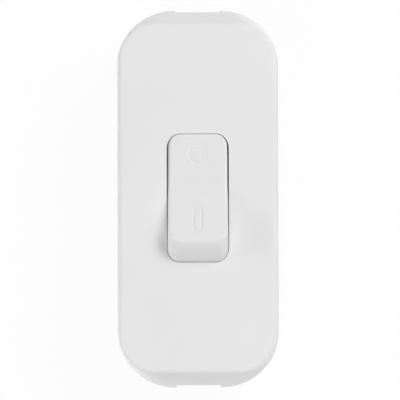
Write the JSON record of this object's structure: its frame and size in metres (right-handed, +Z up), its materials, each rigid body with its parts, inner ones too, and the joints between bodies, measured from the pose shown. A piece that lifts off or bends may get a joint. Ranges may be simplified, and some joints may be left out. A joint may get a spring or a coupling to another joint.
{
  "type": "in-line cord switch",
  "caption": "White in-line rocker switch for a flexible cord, with a rounded two-part case, cord holes at both ends and an off and on rocker in the face.",
  "frame": {"origin": "middle of the flat back, on the surface that the switch lies on", "axes": "+X across the case, +Y along it towards the off end of the rocker, +Z up out of the face"},
  "size_m": [0.0324, 0.076, 0.0262],
  "materials": {
    "case": "fine moulded white",
    "rocker": "fine moulded white",
    "steel": "zinc-plated",
    "terminal_brass": "stamped",
    "contact_silver": "silver contact",
    "grip": "moulded"
  },
  "bodies": {
    "housing": {"base": "case", "cover": "case", "case_screws": "steel", "common_terminal_left": "terminal_brass", "common_terminal_right": "terminal_brass", "contact_terminal_left": "terminal_brass", "contact_terminal_right": "terminal_brass", "fixed_contact_left": "contact_silver", "fixed_contact_right": "contact_silver", "terminal_screws": "steel", "cord_clamp_inlet": "grip", "cord_clamp_outlet": "grip", "clamp_screws": "steel"},
    "rocker": {"rocker": "rocker", "plunger_spring_left": "steel", "plunger_spring_right": "steel"},
    "plunger_left": {"plunger_left": "grip"},
    "bridge_left": {"bridge_left": "terminal_brass", "moving_contact_left": "contact_silver"},
    "plunger_right": {"plunger_right": "grip"},
    "bridge_right": {"bridge_right": "terminal_brass", "moving_contact_right": "contact_silver"}
  },
  "joints": [
    {"name": "rocker_tilt", "type": "hinge", "parent": "housing", "child": "rocker", "pos_m": [0, 0, 0.0144], "axis": [1, 0, 0], "range_deg": [0, 24]},
    {"name": "bridge_left_tilt", "type": "hinge", "parent": "housing", "child": "bridge_left", "pos_m": [-0.0036, 0, 0.00497], "axis": [1, 0, 0], "range_deg": [-24, 0]},
    {"name": "plunger_left_slide", "type": "slide", "parent": "rocker", "child": "plunger_left", "axis": [0, 0.2079, 0.9781], "range_m": [0, 0.0008], "stiffness_N_per_m": 200, "springref_m": -0.002, "deforming": ["plunger_spring_left"]},
    {"name": "bridge_right_tilt", "type": "hinge", "parent": "housing", "child": "bridge_right", "pos_m": [0.0036, 0, 0.00497], "axis": [1, 0, 0], "range_deg": [-24, 0]},
    {"name": "plunger_right_slide", "type": "slide", "parent": "rocker", "child": "plunger_right", "axis": [0, 0.2079, 0.9781], "range_m": [0, 0.0008], "stiffness_N_per_m": 200, "springref_m": -0.002, "deforming": ["plunger_spring_right"]}
  ],
  "couplings": [
    {"joint": "bridge_left_tilt", "follows": "rocker_tilt", "ratio": -1},
    {"joint": "bridge_right_tilt", "follows": "rocker_tilt", "ratio": -1}
  ]
}
